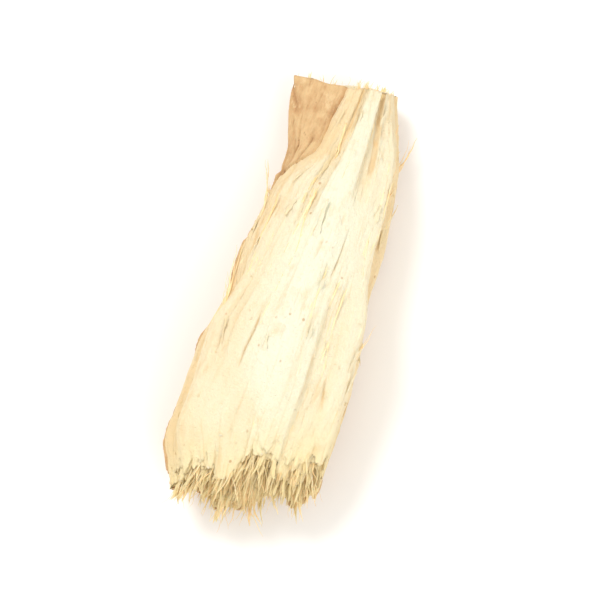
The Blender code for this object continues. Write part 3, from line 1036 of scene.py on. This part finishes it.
def frayed(bundle, rng, fibre, hair, spread=0.2):
    """One fibre of the solid as a bundle of finer, flatter ones that fray towards the tip."""
    hairs = 3 + int(fibre.radius / FRAY_STEP)
    for i in range(hairs):
        angle = i * GOLDEN_ANGLE
        aside = np.array((math.cos(angle), 0.0, math.sin(angle)))
        own = max(fibre.radius * (rng.uniform(0.55, 0.75) if i == 0 else rng.uniform(0.22, 0.45)), hair)
        start = fibre.root + aside * fibre.radius * 0.6 * math.sqrt(i / hairs)
        lean = fibre.direction + aside * rng.uniform(0.0, spread)
        lean /= np.linalg.norm(lean)
        length = fibre.reach * (1.0 if i == 0 else rng.uniform(0.35, 0.98))
        bend = fibre.curl + aside * spread * rng.uniform(-0.7, 1.5)
        path = fibre_path(rng, start, lean, FIBRE_ROOT, length, bend, 0.025)
        share = np.linspace(0, 1, len(path))
        uneven = 1 + 0.16 * np.sin(rng.uniform(0, 6) + share * rng.uniform(9, 22))
        radii = own * (1 - 0.88 * share**2.2) * uneven
        bundle.add(path, radii, rng.uniform(-0.1, 0.6), 7, rng.uniform(0.3, 0.75), rng.uniform(0, math.pi))


def end_hairs(bundle, rng, count, share, longest, radius):
    """Fine hairs scattered over one end of the body."""
    outline = side_outline(BODY.turn, np.array([share * LENGTH]))[0]
    middle = outline.mean(axis=0)
    way = 1 if share else -1
    for _ in range(count):
        out = 0.97 * math.sqrt(rng.uniform())
        flat = middle + (outline[rng.integers(len(outline))] - middle) * out
        lean = (flat - middle) * 0.16 + rng.uniform(-0.32, 0.32, 2)
        direction = pointing(lean[0], way, lean[1])
        reach = longest * rng.uniform(0.25, 1.0) ** 1.4
        curl = np.array((rng.uniform(-1, 1), 0, rng.uniform(-1, 1))) * 0.6
        path = fibre_path(rng, end_root(flat, share), direction, 0.3, reach, curl, 0.04, 10)
        radii = radius * rng.uniform(0.6, 1.5) * (1 - 0.8 * np.linspace(0, 1, 10) ** 2)
        bundle.add(path, radii, rng.uniform(-0.1, 0.8), 5)


class GINGER_OT_flesh(bpy.types.Operator):
    """Build the starchy flesh of the chip"""

    bl_idname = "ginger.flesh"
    bl_label = "Flesh"

    def execute(self, context):
        rows, columns = BODY.points.shape[:2]
        middles = [BODY.points[0].mean(axis=0), BODY.points[-1].mean(axis=0)]
        points = np.concatenate([BODY.points.reshape(-1, 3), middles])
        values = {}
        for name in FLESH_VALUES:
            values[name] = np.append(getattr(BODY, name), END_VALUES.get(name, (0.0, 0.0)))
        material = flesh_finish("ginger_flesh", context.scene.ginger_colours)
        mesh_piece("ginger_flesh", points, closed_faces(rows, columns), material, values)
        return {"FINISHED"}


class GINGER_OT_skin(bpy.types.Operator):
    """Build the papery skin on the chip's underside and shoulder"""

    bl_idname = "ginger.skin"
    bl_label = "Skin"

    def execute(self, context):
        thickness = context.scene.ginger_sizes.skin_thickness / MM
        first, last = SKIN_LEFT - SKIN_CLIMB - SPARE_LEFT, CORNERS + SKIN_RIGHT + SPARE_RIGHT
        turn = np.linspace(first, last, SKIN_ROUND) % CORNERS
        along = np.linspace(0, LENGTH, SKIN_ALONG)
        points = placed(side_outline(turn, along), (along / LENGTH)[:, None])
        normals = grid_normals(points, False)
        turns = np.broadcast_to(turn, points.shape[:2])
        alongs = np.broadcast_to(along[:, None], points.shape[:2])
        inside = skin_reach(turns, alongs) + sum(laid_noise(ragged, turns, alongs) for ragged in RAGGED)
        raised, folds = skin_folds(turns, alongs)
        inner = np.clip(inside / 0.15, 0, 1)
        height = SKIN_HEIGHT + folds * (0.25 + 0.75 * inner)
        height = height + SKIN_LIP * np.exp(-(((inside - 0.04) / 0.04) ** 2))
        height = height - np.clip(0.5 - inside / 0.04, 0, 1) * (thickness + SKIN_DIVE)
        points = points + normals * height[..., None]
        torn_edge = laid_noise(TATTERS, turns, alongs * 0) + 0.06
        points[..., 1] -= torn_edge * np.clip(1 - alongs / 0.3, 0, 1)
        points[..., 2] = np.maximum(points[..., 2], 0.0)
        keep = (inside > -0.10).ravel()
        faces = [face for face in grid_faces(SKIN_ALONG, SKIN_ROUND, False) if keep[list(face)].any()]
        material = skin_finish("ginger_skin", context.scene.ginger_colours)
        # This fold share drives the painted shade in the skin's creases
        skin = mesh_piece("ginger_skin", points.reshape(-1, 3), faces, material, {"fold": raised})
        loose = bmesh.new()
        loose.from_mesh(skin.data)
        bmesh.ops.delete(loose, geom=[v for v in loose.verts if not v.link_faces], context="VERTS")
        loose.to_mesh(skin.data)
        loose.free()
        shell = skin.modifiers.new("thickness", "SOLIDIFY")
        shell.thickness = thickness * MM
        shell.offset = -1.0
        return {"FINISHED"}


class GINGER_OT_end_fibres(bpy.types.Operator):
    """Build the fibres that stand out of the torn end and the cut end"""

    bl_idname = "ginger.end_fibres"
    bl_label = "End fibres"

    def execute(self, context):
        sizes = context.scene.ginger_sizes
        hair = sizes.hair_radius / MM
        material = fibre_finish("ginger_fibre", context.scene.ginger_colours)
        solid_rng = np.random.default_rng(SEED)
        rng = np.random.default_rng(61)
        torn, cut = Bundle(), Bundle()
        for fibre in solid_fibres(solid_rng, TORN_FIBRES, 0.0, TORN_REACH, TORN_SPLAY):
            frayed(torn, rng, fibre, hair)
        for fibre in solid_fibres(solid_rng, CUT_FIBRES, 1.0, CUT_REACH, CUT_SPLAY):
            frayed(cut, rng, fibre, hair)
        end_hairs(torn, rng, sizes.torn_hairs, 0.0, 0.75, hair)
        end_hairs(cut, rng, sizes.cut_hairs, 1.0, 0.26, hair)
        torn.piece("torn_end_fibres", material)
        cut.piece("cut_end_fibres", material)
        return {"FINISHED"}


def lying_strands(rng, count, radius):
    """Fibres that lie half sunk in the flesh, some of them diving into it."""
    lying = Bundle()
    share = np.linspace(0, 1, 22)
    for _ in range(count):
        turn = rng.choice((rng.uniform(1.0, 2.3), rng.uniform(2.3, 3.9), rng.uniform(3.9, 4.85)))
        length = rng.uniform(0.7, 3.0)
        start = rng.uniform(0.1, LENGTH - length - 0.1)
        found = path_on_flesh(72, turn, np.linspace(start, start + length, 22), 0.06, 0.9)
        if found is None:
            continue
        points, normals = found
        own = radius * rng.uniform(0.35, 1.0) ** 1.3
        flatness = rng.uniform(0.35, 0.7)
        sunk = own * flatness * (0.72 + 1.6 * (2 * share - 1) ** 6)
        if rng.uniform() < 0.25:
            sunk = sunk - own * 1.9 * share**6 - rng.uniform(0.03, 0.12) * share**5
        radii = own * (1 - 0.4 * share) * (1 + 0.15 * np.sin(share * rng.uniform(8, 25)))
        radii = radii * np.clip(np.minimum(share, 1 - share) * 8 + 0.25, 0, 1)
        tone = rng.uniform(-0.35, 0.25) + 0.5 * float(warmth(turn, start + length / 2))
        lying.add(points - normals * sunk[:, None], radii, tone, 7, flatness, 0.0, normals)
    return lying


def lifted_strands(rng, hair):
    """The solid's strands, frayed a little."""
    lifted = Bundle()
    for turn, along, way, length in STRANDS:
        here = np.array([along])
        spot = outline_at(np.array([turn]), here)[0, 0]
        middle = section_middle(here)[0, 0]
        outward = (spot - middle) / np.linalg.norm(spot - middle)
        y = float(placed(spot, along / LENGTH)[1])
        direction = pointing(outward[0] * STRAND_LIFT, way, outward[1] * STRAND_LIFT)
        spot = spot - outward * STRAND_SUNK
        root = np.array((spot[0], y, spot[1]))
        curl = np.array((outward[0], 0, outward[1])) * STRAND_CURL
        frayed(lifted, rng, Fibre(root, direction, length, STRAND_RADIUS, curl), hair, 0.05)
    return lifted


class GINGER_OT_strands(bpy.types.Operator):
    """Build the fibres that lie in the flesh and those that lift off its sides"""

    bl_idname = "ginger.strands"
    bl_label = "Strands"

    def execute(self, context):
        sizes = context.scene.ginger_sizes
        material = fibre_finish("ginger_strand", context.scene.ginger_colours)
        rng = np.random.default_rng(71)
        lying_strands(rng, sizes.strands, sizes.strand_radius / MM).piece("strands_in_flesh", material)
        lifted_strands(rng, sizes.hair_radius / MM).piece("lifted_strands", material)
        return {"FINISHED"}


def side_slivers(bundle, rng, count):
    """Adds slivers split off the sides, one end still in the flesh, and returns how warm their points are."""
    warm = []
    out = np.linspace(0, 1, 18)
    for _ in range(count):
        turn = rng.choice((rng.uniform(1.1, 2.2), rng.uniform(3.9, 4.8), rng.uniform(2.2, 3.9)))
        length = rng.uniform(0.5, 1.5)
        start = rng.uniform(0.1, LENGTH - length - 0.3)
        share = out[::-1] if rng.uniform() < 0.5 else out
        found = path_on_flesh(92, turn, start + length * share, 0.05, 1.1)
        if found is None:
            continue
        points, normals = found
        wide = rng.uniform(0.05, 0.13)
        lift = -0.035 + rng.uniform(0.08, 0.18) * out**1.8
        radii = wide * (1 - 0.85 * out**1.3) * (1 - (1 - out) ** 8) + 0.004
        radii = radii * (1 + 0.20 * np.sin(out * rng.uniform(10, 25) + turn * 9))
        path = points + normals * lift[:, None]
        bundle.add(path, radii, 0.0, 8, rng.uniform(0.16, 0.26), 0.0, normals)
        warm.extend([float(warmth(turn, start))] * (bundle.count - len(warm)))
    return warm


def torn_slivers(bundle, rng, count):
    """Adds flat broken slivers of flesh that stand out of the torn end between its fibres."""
    outline = side_outline(BODY.turn, np.array([0.0]))[0]
    middle = outline.mean(axis=0)
    out = np.linspace(0, 1, 14)
    for _ in range(count):
        flat = middle + (outline[rng.integers(len(outline))] - middle) * 0.95 * math.sqrt(rng.uniform())
        lean = (flat - middle) * 0.12 + rng.uniform(-0.16, 0.16, 2)
        direction = pointing(lean[0], -1, lean[1])
        reach = rng.uniform(0.12, 0.62)
        curl = np.array((rng.uniform(-1, 1), 0, rng.uniform(-1, 0.6))) * 0.25
        path = fibre_path(rng, end_root(flat, 0), direction, 0.3, reach, curl, 0.02)
        wide = 0.014 + 0.050 * rng.uniform() ** 1.6
        tip = np.clip((1 - out) / rng.uniform(0.15, 0.8), 0, 1)
        radii = wide * tip * (1 + 0.10 * np.sin(out * rng.uniform(12, 30) + flat[0] * 9)) + 0.004
        bundle.add(path, radii, rng.uniform(0.6, 1.0), 7, rng.uniform(0.4, 0.9), rng.uniform(0, math.pi))


class GINGER_OT_splinters(bpy.types.Operator):
    """Build the slivers of flesh that are split from the sides and stand at the torn end"""

    bl_idname = "ginger.splinters"
    bl_label = "Splinters"

    def execute(self, context):
        sizes = context.scene.ginger_sizes
        rng = np.random.default_rng(91)
        slivers = Bundle()
        warm = side_slivers(slivers, rng, sizes.splinters)
        at_torn_end = slivers.count
        torn_slivers(slivers, rng, sizes.torn_splinters)
        warm.extend([0.3] * (slivers.count - len(warm)))
        tones = np.concatenate(slivers.tones)
        # The torn slivers get painted shade towards their roots, where they stand close together
        root = (tones.max() - tones) * 0.4
        root[:at_torn_end] = 0.0
        values = dict.fromkeys(FLESH_VALUES, np.zeros(slivers.count))
        values.update(torn=tones, warm=warm, cortex=warm, groove=root)
        material = flesh_finish("ginger_splinter", context.scene.ginger_colours)
        mesh_piece("flesh_splinters", np.concatenate(slivers.points), slivers.faces, material, values)
        return {"FINISHED"}


class GINGER_OT_crumbs(bpy.types.Operator):
    """Build the starchy crumbs that cling to the flesh"""

    bl_idname = "ginger.crumbs"
    bl_label = "Crumbs"

    def execute(self, context):
        sizes = context.scene.ginger_sizes
        rng = np.random.default_rng(81)
        ball = bmesh.new()
        bmesh.ops.create_icosphere(ball, subdivisions=2, radius=1.0)
        shape = np.array([vertex.co[:] for vertex in ball.verts])
        corners = [[vertex.index for vertex in face.verts] for face in ball.faces]
        ball.free()
        points, faces, warm = [], [], []
        for _ in range(sizes.crumbs):
            turn = rng.uniform(1.0, 4.9)
            along = LENGTH * rng.uniform() ** 2.2
            spot, normal = BODY.surface(np.array(turn), np.array(along))
            size = sizes.crumb_size / MM * rng.uniform(0.2, 1.0) ** 2
            # Flats cut off the ball make a broken, angular grain
            flats = rng.normal(size=(9, 3))
            flats /= np.linalg.norm(flats, axis=1, keepdims=True)
            grain = shape.copy()
            for flat in flats:
                over = np.maximum(grain @ flat - rng.uniform(0.35, 0.7), 0)
                grain -= over[:, None] * flat
            offset = len(points) * len(shape)
            points.append(spot + normal * size * 0.1 + grain * rng.uniform(0.7, 1.5, 3) * size)
            faces.extend([tuple(offset + corner for corner in face) for face in corners])
            warm.extend([float(warmth(turn, along))] * len(shape))
        values = dict.fromkeys(FLESH_VALUES, np.zeros(len(warm)))
        values.update(warm=warm, cortex=warm)
        material = flesh_finish("ginger_crumb", context.scene.ginger_colours)
        mesh_piece("starch_crumbs", np.concatenate(points), faces, material, values)
        return {"FINISHED"}


class GINGER_OT_stage(bpy.types.Operator):
    """Build the plain pale floor, the soft light and the camera"""

    bl_idname = "ginger.stage"
    bl_label = "Stage"

    def execute(self, context):
        scene = context.scene
        plain = Finish("stage_floor")
        plain.set(Base_Color=scene.ginger_colours.floor, Roughness=0.9, Specular_IOR_Level=0.1)
        mesh = bpy.data.meshes.new("stage_floor")
        corners = [(x * FLOOR_HALF, y * FLOOR_HALF, 0) for x, y in ((-1, -1), (1, -1), (1, 1), (-1, 1))]
        mesh.from_pydata(corners, [], [(0, 1, 2, 3)])
        mesh.materials.append(plain.material)
        shown("stage_floor", mesh)
        world = bpy.data.worlds.new("soft_white_room")
        world.use_nodes = True
        sky = world.node_tree.nodes["Background"]
        sky.inputs["Color"].default_value = SKY_COLOUR
        sky.inputs["Strength"].default_value = SKY_STRENGTH
        scene.world = world
        scene.view_settings.view_transform = "Standard"
        for name, way, strength, width in LIGHTS:
            lamp = bpy.data.lights.new(name, "SUN")
            lamp.energy = strength
            lamp.angle = math.radians(width)
            shown(name, lamp).rotation_euler = Vector(way).to_track_quat("Z", "Y").to_euler()
        lens = bpy.data.cameras.new("camera")
        lens.sensor_width = FILM
        lens.lens = FILM * CAMERA_AWAY / PICTURE_TALL
        lens.clip_start = 0.005
        lens.clip_end = 5.0
        camera = shown("camera", lens)
        lean, height = math.radians(VIEW_LEAN), math.radians(VIEW_HEIGHT)
        level = math.cos(height)
        back = Vector((math.sin(lean) * level, -math.cos(lean) * level, math.sin(height)))
        camera.location = (SOLID_LOW + SOLID_HIGH) / 2 + back * CAMERA_AWAY * MM
        camera.rotation_mode = "QUATERNION"
        camera.rotation_quaternion = (-back).to_track_quat("-Z", "Y")
        scene.camera = camera
        return {"FINISHED"}


class GINGER_PT_panel(bpy.types.Panel):
    """The chip's operators and their settings"""

    bl_label = "Dried ginger root"
    bl_idname = "GINGER_PT_panel"
    bl_space_type = "VIEW_3D"
    bl_region_type = "UI"
    bl_category = "Ginger"

    def draw(self, context):
        for settings in (context.scene.ginger_sizes, context.scene.ginger_colours):
            for name in settings.bl_rna.properties.keys():
                if name not in {"rna_type", "name"}:
                    self.layout.prop(settings, name)
        for operator in OPERATORS:
            self.layout.operator(operator.bl_idname)


OPERATORS = (
    GINGER_OT_stage,
    GINGER_OT_flesh,
    GINGER_OT_skin,
    GINGER_OT_end_fibres,
    GINGER_OT_strands,
    GINGER_OT_splinters,
    GINGER_OT_crumbs,
)
CLASSES = (GingerSizes, GingerColours, *OPERATORS, GINGER_PT_panel)


def register():
    for cls in CLASSES:
        bpy.utils.register_class(cls)
    bpy.types.Scene.ginger_sizes = bpy.props.PointerProperty(type=GingerSizes)
    bpy.types.Scene.ginger_colours = bpy.props.PointerProperty(type=GingerColours)


def unregister():
    del bpy.types.Scene.ginger_colours
    del bpy.types.Scene.ginger_sizes
    for cls in reversed(CLASSES):
        bpy.utils.unregister_class(cls)


def main():
    register()
    bpy.ops.ginger.stage()
    bpy.ops.ginger.flesh()
    bpy.ops.ginger.skin()
    bpy.ops.ginger.end_fibres()
    bpy.ops.ginger.strands()
    bpy.ops.ginger.splinters()
    bpy.ops.ginger.crumbs()


if __name__ == "__main__":
    main()
